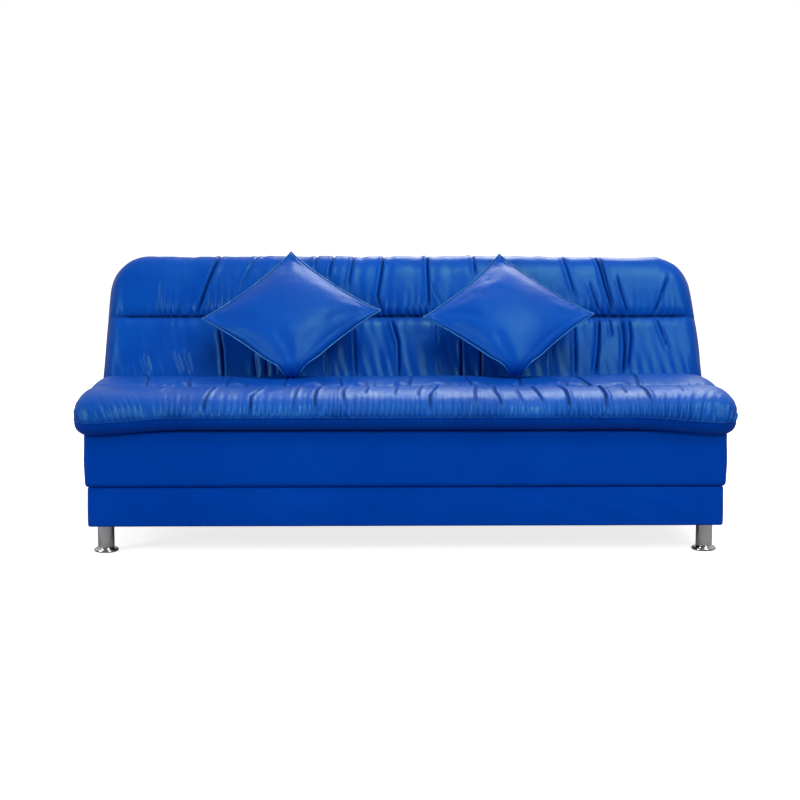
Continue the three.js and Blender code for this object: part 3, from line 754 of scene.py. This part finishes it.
# Soft folds at its foot, too shallow to be in shade.
BACK_FOLDS = [
    (1.0, (-0.760, -0.116), (-0.742, -0.176)),
    (0.7, (-0.672, -0.106), (-0.650, -0.176)),
    (0.7, (-0.640, -0.106), (-0.622, -0.176)),
    (0.8, (-0.440, -0.116), (-0.430, -0.186)),
    (0.8, (-0.405, -0.096), (-0.398, -0.186)),
    (0.7, (-0.378, -0.096), (-0.374, -0.186)),
    (0.8, (-0.225, -0.106), (-0.222, -0.191)),
    (0.8, (0.330, -0.116), (0.332, -0.191)),
    (0.8, (0.440, -0.086), (0.438, -0.191)),
]


def back_ring():
    """One side view of the backrest as (n, u), and each point's way up its front."""
    rear = BACK_DEPTH
    outline = [
        (-0.010, BACK_FOOT), (-0.042, -0.077), (-0.066, -0.052), (-0.0765, -0.015),
        (-0.0785, 0.050), (-0.0795, 0.130), (-0.0775, 0.192), (-0.0745, SEAM),
        (-0.0775, 0.256), (-0.0790, 0.310), (-0.0735, 0.368), (-0.055, 0.405),
        (-0.022, 0.4225), (0.016, 0.4235), (0.052, 0.4130), (0.0715, 0.3890), (rear, 0.358),
        (rear, 0.200), (rear, 0.000), (rear, -0.062), (0.066, -0.080), (0.045, BACK_FOOT),
    ]
    curve, at = spline(outline)
    parts = [
        stretch(curve[: at[3] + 1], BACK_LOW_ROWS),
        stretch(curve[at[3]: at[7] + 1], SEAM_ROW - BACK_LOW_ROWS, TO_END),
        stretch(curve[at[7]: at[10] + 1], 30, TO_START),
        stretch(curve[at[10]: at[16] + 1], 20),
        stretch(curve[at[16]: at[19] + 1], 8),
        stretch(curve[at[19]:], 4),
        stretch(np.array([outline[-1], outline[0]]), 4),
    ]
    ring = np.vstack(parts)
    climb = arc_lengths(ring)
    return ring, climb - climb[SEAM_ROW]


def back_relief(x, v):
    """Heights and shades over the backrest's skin, where v climbs its front and over the top."""
    ends = smoothstep(-0.885, -0.80, x) * smoothstep(0.893, 0.80, x)
    shape = smoothstep(-0.226, -0.156, v) * smoothstep(0.284, 0.224, v)
    height, shade = pleats(x, v, BACK_PLEATS, 0.0062)
    height += pleats(x, v, BACK_FOLDS, 0.0060, 0.0052)[0]
    height += groove(v, 0, 0.0105, 0.0058) * ends
    above = smoothstep(-0.002, 0.005, v)
    gathers = puckers(x, v, 0, 0.023, 0.0075, 0.0215, 71)
    height += above * ends * gathers
    height += (1 - above) * ends * shape * puckers(x, v, 0, 0.022, 0.0026, 0.0310, 81)
    height += shape * (1 - above) * puckers(x, v, -0.196, 0.055, 0.0030, 0.034, 91, 0.25)
    height += shape * 0.0026 * (ripple(x, 0.17, 95) + 0.5 * ripple(x + 0.12 * v, 0.07, 96))
    height += shape * 0.0013 * ripple(x - 0.06 * v, 0.027, 98) * smoothstep(-0.55, -0.40, x)
    over = smoothstep(0.150, 0.230, v) * smoothstep(0.36, 0.29, v)
    height += over * 0.0012 * ripple(x, 0.021, 97)
    shade = np.maximum(shade, 0.85 * ends * crease(v, 0, 0.0044))
    return height, np.maximum(shade, 0.5 * above * ends * np.clip(-gathers / 0.0025, 0, 1))


def in_world(grid):
    """From the backrest's own axes to the frame's."""
    x, n, u = grid[..., 0], grid[..., 1], grid[..., 2]
    y = HINGE.y + n * math.cos(LEAN) + u * math.sin(LEAN)
    z = HINGE.z - n * math.sin(LEAN) + u * math.cos(LEAN)
    return np.stack([x, y, z], axis=-1)


def back_cushion():
    ring, climb = back_ring()
    corner = BACK_CORNER * BACK_HALF / TOP_HALF
    straight = BACK_HALF - corner
    turn = np.linspace(0, math.radians(89.7), 34)[1:]
    out = straight + corner * np.sin(turn)
    x = np.concatenate([-out[::-1], np.linspace(-straight, straight, 760), out])
    past = np.clip((np.abs(x) - straight) / corner, 0, 1)
    top = BACK_TOP - BACK_CORNER * (1 - np.sqrt(1 - past**2))
    low_past = np.clip((np.abs(x) - BACK_HALF + BACK_LOW_CORNER) / BACK_LOW_CORNER, 0, 1)
    foot = BACK_FOOT + BACK_LOW_CORNER * (1 - np.sqrt(1 - low_past**2))
    end = np.clip((np.abs(x) - BACK_HALF + BACK_END) / BACK_END, 0, 1)
    n, u = ring[None, :, 0], ring[None, :, 1]
    square = BACK_SQUARE + (BACK_REAR_SQUARE - BACK_SQUARE) * smoothstep(0.0, BACK_DEPTH, n)
    drawn = (1 - end[:, None] ** square) ** (1 / square)
    upper = SEAM + (u - SEAM) * (top[:, None] - SEAM) / (BACK_TOP - SEAM)
    lower = SEAM + (u - SEAM) * (SEAM - foot[:, None]) / (SEAM - BACK_FOOT)
    climbed = np.where(u > SEAM, upper, lower)
    width = BACK_HALF - (BACK_HALF - TOP_HALF) * (climbed - BACK_FOOT) / (BACK_TOP - BACK_FOOT)
    width = width - BACK_PULL * smoothstep(0.12, 0.36, climbed) * (x[:, None] > 0)
    across = x[:, None] * width / BACK_HALF
    grid = np.stack([across, n * drawn, climbed], axis=2)
    v = np.repeat(climb[None], len(x), axis=0)
    calm = smoothstep(0.05, 0.6, drawn.min(axis=1))[:, None]
    height, shade = back_relief(across, v)
    grid += outward(grid) * (height * calm)[:, :, None]
    grid[..., 1] = np.minimum(grid[..., 1], BACK_DEPTH)
    cushion = skin("back_cushion", in_world(grid), BACK, shade)
    cut_slots(cushion)
    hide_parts("back_cover", "back_foam")
    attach(cushion, "backrest")


def cut_slots(cushion):
    """The hinge at each end lies in a slot cut up into the backrest."""
    cushion.data.materials.append(LINING)
    for side in (-1, 1):
        corners = [(side * x, n, u) for x, n, u in itertools.product(*SLOT)]
        faces = [(0, 1, 3, 2), (4, 6, 7, 5), (0, 4, 5, 1), (2, 3, 7, 6), (0, 2, 6, 4), (1, 5, 7, 3)]
        cutter = solid("slot_cutter", in_world(np.array(corners)), faces, BACK)
        cutter.data.materials.append(LINING)
        for face in cutter.data.polygons:
            face.material_index = 1
        cut = cushion.modifiers.new("slot", "BOOLEAN")
        cut.object = cutter
        cut.operation = "DIFFERENCE"
        cut.solver = "FAST"
        apply_modifiers(cushion)
        bpy.data.objects.remove(cutter)
    cushion.data.set_sharp_from_angle(angle=math.radians(50))


def apply_modifiers(obj):
    depsgraph = bpy.context.evaluated_depsgraph_get()
    mesh = bpy.data.meshes.new_from_object(obj.evaluated_get(depsgraph), depsgraph=depsgraph)
    obj.modifiers.clear()
    obj.data = mesh


def stiles():
    """The outer stiles, their upper corners sawn off to clear the cushion's rounding."""
    for side, out in (("left", -1), ("right", 1)):
        node = f"back_{side}_stile"
        board = frame["nodes"][node]
        shape = bmesh.new()
        shape.from_mesh(board.data)
        shape.transform(board.matrix_world)
        across, down = in_world(np.array([(out * (PANEL_HALF - STILE_CUT), 0, PANEL_HIGH),
                                          (out * PANEL_HALF, 0, PANEL_HIGH - STILE_CUT)]))
        away = Vector(down - across).cross(Vector((0, math.cos(LEAN), -math.sin(LEAN)))) * out
        sawn = bmesh.ops.bisect_plane(
            shape, geom=shape.verts[:] + shape.edges[:] + shape.faces[:],
            plane_co=across, plane_no=away, clear_outer=away.z > 0, clear_inner=away.z < 0,
        )
        rim = [edge for edge in sawn["geom_cut"] if isinstance(edge, bmesh.types.BMEdge)]
        bmesh.ops.holes_fill(shape, edges=rim)
        mesh = bpy.data.meshes.new(f"stile_{side}")
        shape.to_mesh(mesh)
        shape.free()
        stile = piece(f"stile_{side}", mesh, BASE)
        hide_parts(node)
        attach(stile, "backrest")


def rear_panel():
    """The plain panel that closes the backrest's rear, piped along its edge."""
    outline = rounded_rectangle(-PANEL_HALF, PANEL_HALF, PANEL_LOW, PANEL_HIGH, 0.03, 8)
    middle = np.array([0, (PANEL_LOW + PANEL_HIGH) / 2])
    reach = np.array([PANEL_HALF, (PANEL_HIGH - PANEL_LOW) / 2])
    crown = [  # (in from its edge, out from the backrest's rear)
        (0.0, -0.004), (0.0, 0.0006), (0.004, 0.0022), (0.012, 0.0032), (0.05, 0.0042),
        (0.14, 0.0046), (0.22, 0.0046),
    ]
    rows = []
    for inset, lift in crown:
        ring = middle + (outline - middle) * (1 - inset / reach)
        rows.append(np.stack([ring[:, 0], np.full(len(ring), BACK_DEPTH + lift), ring[:, 1]], 1))
    panel = skin("back_panel", in_world(np.array(rows)), BASE)
    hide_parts("back_rear_panel")
    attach(panel, "backrest")
    edge = np.stack([outline[:, 0], np.full(len(outline), BACK_DEPTH + 0.0008), outline[:, 1]], 1)
    piping = tube("back_panel_piping", in_world(edge), PIPING_RADIUS, PIPING, closed=True)
    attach(piping, "backrest")


# ---- Base ----


def rounded_rectangle(left, right, low, high, radius, steps):
    """Points all round it, about 12 mm apart along its sides."""
    corners = [(right - radius, low + radius, -90), (right - radius, high - radius, 0),
               (left + radius, high - radius, 90), (left + radius, low + radius, 180)]
    points = []
    for cx, cy, start in corners:
        for k in range(steps + 1):
            angle = math.radians(start + 90 * k / steps)
            points.append((cx + radius * math.cos(angle), cy + radius * math.sin(angle)))
    dense = []
    for a, b in zip(points, points[1:] + points[:1]):
        gap = math.dist(a, b)
        count = max(1, round(gap / 0.012))
        dense += [(a[0] + (b[0] - a[0]) * k / count, a[1] + (b[1] - a[1]) * k / count)
                  for k in range(count)]
    return np.array(dense)


def upholstered_band(name, node, top_round, foot_round, bulge, seed):
    """Leather pulled round a wooden frame: soft along its edges and faintly uneven."""
    low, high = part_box(node)
    outline = rounded_rectangle(low.x, high.x, low.y, high.y, 0.010, 7)
    along = np.roll(outline, -1, 0) - np.roll(outline, 1, 0)
    normal = np.stack([along[:, 1], -along[:, 0]], 1)
    normal /= np.linalg.norm(normal, axis=1, keepdims=True)
    tall = high.z - low.z
    profile = []  # (inward, up) from the outer lower corner, all round the band's section
    for k in range(7):
        angle = math.radians(90 * k / 6)
        profile.append((foot_round * (1 - math.sin(angle)), foot_round * (1 - math.cos(angle))))
    profile += [(0, foot_round + (tall - foot_round - top_round) * k / 14) for k in range(1, 14)]
    for k in range(7):
        angle = math.radians(90 * k / 6)
        profile.append((top_round * (1 - math.cos(angle)), tall - top_round * (1 - math.sin(angle))))
    inner = max(0.0042, foot_round + 0.0004, top_round + 0.0004)
    profile += [(inner, tall - 0.0004), (inner, 0.0004)]
    rings = []
    x, y = outline[:, 0], outline[:, 1]
    place = np.where(np.abs(normal[:, 1]) > 0.7, x, y + 2)
    for inward, up in profile:
        share = up / tall
        offset = np.full(len(x), -inward, float)
        if inward < 0.003:  # on the band's outside
            offset += bulge * math.sin(math.pi * share)
            offset += 0.0007 * ripple(place + 0.3 * share, 0.09, seed)
            if share > 0.9:
                offset += 0.0008 * ripple(place, 0.045, seed + 1)
        rings.append(np.stack([x + normal[:, 0] * offset, y + normal[:, 1] * offset,
                               np.full(len(x), low.z + up)], 1))
    grid = np.array(rings).transpose(1, 0, 2)
    grid = np.concatenate([grid, grid[:1]])
    obj = skin(name, grid, BASE)
    close_loop(obj.data)
    obj.data.set_sharp_from_angle(angle=math.radians(55))
    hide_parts(node)
    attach(obj, "base")


def legs():
    """Chrome tubes with a rolled foot, each screwed down on a dished foot."""
    for name in ("front_left", "front_right", "rear_left", "rear_right"):
        low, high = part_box(f"leg_tube_{name}")
        centre = ((low.x + high.x) / 2, (low.y + high.y) / 2)
        r = (high.x - low.x) / 2
        wall, bore = 0.002, 0.0064
        profile = [
            (bore, low.z), (r - 0.0016, low.z), (r - 0.0005, low.z + 0.0005),
            (r, low.z + 0.0016), (r, high.z - 0.0005), (r - 0.0005, high.z),
            (r - wall, high.z), (r - wall, low.z + 0.009), (bore, low.z + 0.009),
        ]
        profile.append(profile[0])
        leg = turned(f"chrome_leg_{name}", profile, centre, SATIN_CHROME, closed=True)
        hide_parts(f"leg_tube_{name}")
        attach(leg, "base")

        foot_low, foot_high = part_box(f"foot_{name}")
        rim = (foot_high.x - foot_low.x) / 2
        lip = 0.0042  # the radius of its rolled edge
        dish = [(0.0002, 0.0)]
        dish += [(rim - lip + lip * math.sin(math.radians(a)),
                  lip - lip * math.cos(math.radians(a))) for a in range(0, 180, 20)]
        dish += [(rim - 0.0045, 0.0084), (rim - 0.0075, 0.0078), (r + 0.0025, 0.0072),
                 (r + 0.0012, 0.0080), (r + 0.0007, 0.0098), (r - 0.0012, 0.0119),
                 (0.0058, 0.0119), (0.0058, foot_high.z - 0.001), (0.0048, foot_high.z),
                 (0.0002, foot_high.z)]
        foot = turned(f"chrome_foot_{name}", dish, centre, CHROME)
        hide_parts(f"foot_{name}")
        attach(foot, f"foot_{name}")


# ---- Throw pillows ----

# Soft folds that run in from the corners of a pillow stood on its corner: strength, then
# (x, height) from its middle.
PILLOW_FOLDS = [
    (0.8, (0.004, -0.200), (-0.014, -0.140), (-0.044, -0.085)),
    (0.6, (0.022, -0.185), (0.046, -0.125), (0.075, -0.090)),
    (0.9, (-0.215, -0.006), (-0.150, -0.030), (-0.095, -0.050)),
    (0.9, (0.215, -0.004), (0.150, -0.024), (0.100, -0.060)),
    (0.6, (0.205, 0.020), (0.140, 0.035)),
    (0.6, (-0.012, 0.205), (-0.022, 0.140)),
    (0.5, (0.016, 0.200), (0.045, 0.130)),
]


def pillow_blank():
    """Two square panels sewn together all round, as (across, up, face) points and quads."""
    cells = PILLOW_CELLS
    number, places, quads = {}, [], []
    for face, i, j in itertools.product((-1, 1), range(cells + 1), range(cells + 1)):
        if face > 0 and (i in (0, cells) or j in (0, cells)):
            number[face, i, j] = number[-1, i, j]
            continue
        number[face, i, j] = len(places)
        places.append((2 * i / cells - 1, 2 * j / cells - 1, face))
    for face, i, j in itertools.product((-1, 1), range(cells), range(cells)):
        loop = [number[face, i, j], number[face, i + 1, j],
                number[face, i + 1, j + 1], number[face, i, j + 1]]
        quads.append(loop[::-face])
    return np.array(places, float), quads


PILLOW_CLOTH = dict(
    quality=5, mass=0.35, tension_stiffness=18, compression_stiffness=18, shear_stiffness=6,
    bending_stiffness=0.9, air_damping=2, use_pressure=True, uniform_pressure_force=2.2,
)


def inflate(obj):
    """Blows the blank up as cloth, so that its sewn edges gather as a real pillow's do."""
    frames = 16
    modifier = obj.modifiers.new("cloth", "CLOTH")
    for key, value in PILLOW_CLOTH.items():
        setattr(modifier.settings, key, value)
    modifier.settings.effector_weights.gravity = 0
    modifier.collision_settings.use_collision = False
    modifier.point_cache.frame_end = frames
    scene = bpy.context.scene
    for number in range(1, frames + 1):
        scene.frame_set(number)
    apply_modifiers(obj)
    scene.frame_set(1)


def pillow_shape():
    """A filled pillow as points and faces: crowned, drawn in between its corners, gathered."""
    places, quads = pillow_blank()
    s, t, face = places.T
    half = PILLOW_SIDE / 2
    crown = ((1 - s * s) * (1 - t * t)) ** 0.5
    x = half * s * (1 - PILLOW_PINCH * (1 - t * t) * s * s)
    z = half * t * (1 - PILLOW_PINCH * (1 - s * s) * t * t)
    co = np.stack([x, face * PILLOW_DEPTH / 2 * crown, z], 1)
    slack = co * (1, PILLOW_SLACK, 1)
    obj = solid("pillow_blank", slack, quads, PILLOW)
    inflate(obj)
    moved = np.array([v.co for v in obj.data.vertices]) - slack
    bpy.data.objects.remove(obj)
    moved -= moved.mean(0)
    far = np.linalg.norm(moved, axis=1, keepdims=True)
    co = slack + moved * np.minimum(1, PILLOW_SWELL / (far + 1e-9))
    co[:, 1] *= PILLOW_DEPTH / np.ptp(co[:, 1])
    inset = half * (1 - np.maximum(np.abs(s), np.abs(t)))
    along = half * np.where(np.abs(s) > np.abs(t), t + 3 * np.sign(s), s - 3 * np.sign(t))
    gathers = puckers(along, inset, 0, 0.017, 0.0022, 0.0185, 121) * smoothstep(0, 0.007, inset)
    dents = 0.0022 * (ripple(x + 0.4 * z, 0.085, 122) + ripple(z - 0.5 * x, 0.11, 123))
    across, up = (x + z) * math.sqrt(0.5), (z - x) * math.sqrt(0.5)
    folds = pleats(across, up, PILLOW_FOLDS, 0.0048, 0.0150)[0]
    co[:, 1] += face * (gathers + dents * crown + folds * smoothstep(0, 0.01, inset))
    return co, quads


def curl(points):
    """Rolls the lower corner up behind the pillow, round a bend."""
    radius, start = 0.026, -PILLOW_REACH + 0.036
    most = 2.6  # radians; past it the corner's tip runs straight on
    y, z = points[:, 1].copy(), points[:, 2].copy()
    below = np.maximum(start - z, 0)
    angle = np.minimum(below / radius, most)
    rest = below - angle * radius
    arm = radius - y
    rolled_y = radius - arm * np.cos(angle) + rest * np.sin(angle)
    rolled_z = start - arm * np.sin(angle) - rest * np.cos(angle)
    lower = z < start
    points[:, 1] = np.where(lower, rolled_y, y)
    points[:, 2] = np.where(lower, rolled_z, z)
    return points


def slump(points, lean_over, tilt, lift, narrow, tall, rise):
    """Stands the pillow on its foot, where it settles out of square."""
    points[:, 2] += PILLOW_REACH
    x, z = points[:, 0].copy(), points[:, 2].copy()
    gathered = 1 - 0.30 * smoothstep(0.060, 0.0, z)
    points[:, 0] = x * gathered * narrow + lean_over * z
    points[:, 2] = tall * z + rise + tilt * x + lift * (x / PILLOW_REACH) ** 2
    return points


def throw_pillows():
    shape, faces = pillow_shape()
    cells = PILLOW_CELLS
    rim = [(i, 0) for i in range(cells)] + [(cells, j) for j in range(cells)]
    rim += [(i, cells) for i in range(cells, 0, -1)] + [(0, j) for j in range(cells, 0, -1)]
    numbers = [i * (cells + 1) + j for i, j in rim]
    for side, mirror in (("left", 1), ("right", -1)):
        joint = next(j for j in frame["joints"] if j["name"] == f"pillow_{side}_tilt")
        foot = Vector(joint["pos_m"])
        foot -= Vector((0, math.sin(PILLOW_LEAN), math.cos(PILLOW_LEAN))) * PILLOW_AXIS_RISE
        points = shape * np.array([mirror, 1, 1])
        turn = np.array(Matrix.Rotation(math.radians(45), 3, "Y"))
        points = slump(curl(points @ turn.T), **PILLOW_SLUMP[side])
        place = Matrix.Rotation(-PILLOW_LEAN, 3, "X") @ Matrix.Rotation(-PILLOW_ROLL[side], 3, "Y")
        points = points @ np.array(place).T + np.array(foot)
        pillow = solid(f"throw_pillow_{side}", points, faces, PILLOW)
        smooth = pillow.modifiers.new("smooth", "SUBSURF")
        smooth.levels = smooth.render_levels = 2
        apply_modifiers(pillow)
        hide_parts(f"pillow_{side}")
        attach(pillow, f"pillow_{side}")
        edge, _ = spline(points[numbers + numbers[:1]], 3)
        piping = tube(f"pillow_piping_{side}", edge[:-1], PIPING_RADIUS, PIPING, closed=True)
        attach(piping, f"pillow_{side}")


# ---- Studio ----


def studio():
    mesh = bpy.data.meshes.new("studio_floor")
    corners = [(30 * x, 30 * y, 0) for x, y in ((-1, -1), (1, -1), (1, 1), (-1, 1))]
    mesh.from_pydata(corners, [], [(0, 1, 2, 3)])
    floor = piece("studio_floor", mesh, FLOOR)
    sky()
    lamp("rear_top", (0.6, 2.9, 2.9), (0.1, 0, 0.4), 2.0, 62)
    lamp("front_top", (0.9, -1.7, 3.8), (0, 0, 0.4), 1.5, 78)
    lamp("right_box", (2.6, -4.4, 3.4), (0.2, 0, 0.4), 2.2, 98)
    lamp("left_fill", (-4.6, -3.2, 1.8), (0, 0, 0.4), 1.8, 98)


def sky():
    """White where the camera sees it; as light, bright overhead and behind, dim in front."""
    world = bpy.data.worlds.new("studio")
    bpy.context.scene.world = world
    world.use_nodes = True
    tree = world.node_tree
    background = tree.nodes["Background"]
    background.inputs["Strength"].default_value = 1.0
    place = add_node(tree, "TexCoord", {}).outputs["Generated"]
    split = add_node(tree, "SeparateXYZ", {0: place}).outputs
    lift = {0: split["Z"], 1: 0.9, 2: split["Y"]}
    lift = add_node(tree, "Math", lift, operation="MULTIPLY_ADD").outputs[0]
    tone = {"Value": lift, "From Min": -0.5, "From Max": 0.9, "To Min": 0.06, "To Max": 0.5}
    tone = add_node(tree, "MapRange", tone).outputs[0]
    seen = add_node(tree, "LightPath", {}).outputs["Is Camera Ray"]
    colour = add_node(tree, "Mix", {0: seen, 2: tone, 3: 1.0}).outputs[0]
    tree.links.new(colour, background.inputs["Color"])


def lamp(name, place, target, size, power):
    data = bpy.data.lights.new(name, "AREA")
    data.shape = "SQUARE"
    data.size = size
    data.energy = power
    obj = bpy.data.objects.new(name, data)
    bpy.context.scene.collection.objects.link(obj)
    obj.location = place
    obj.rotation_euler = (Vector(target) - Vector(place)).to_track_quat("-Z", "Y").to_euler()


def camera():
    data = bpy.data.cameras.new("camera")
    data.lens = 81.3
    obj = bpy.data.objects.new("camera", data)
    bpy.context.scene.collection.objects.link(obj)
    obj.location = (-0.081, NOSE - 4.749, 1.057)
    obj.rotation_euler = (math.radians(90 - 7.53), 0, math.radians(-0.77))
    bpy.context.scene.camera = obj
    bpy.context.scene.view_settings.view_transform = "Standard"


camera()
studio()
paint_hidden_structure()
seat_cushion()
back_cushion()
stiles()
rear_panel()
upholstered_band("box_band", "box_cover", 0.012, 0.012, 0.0020, 101)
upholstered_band("plinth_band", "plinth_cover", 0.005, 0.004, 0.0010, 111)
legs()
throw_pillows()
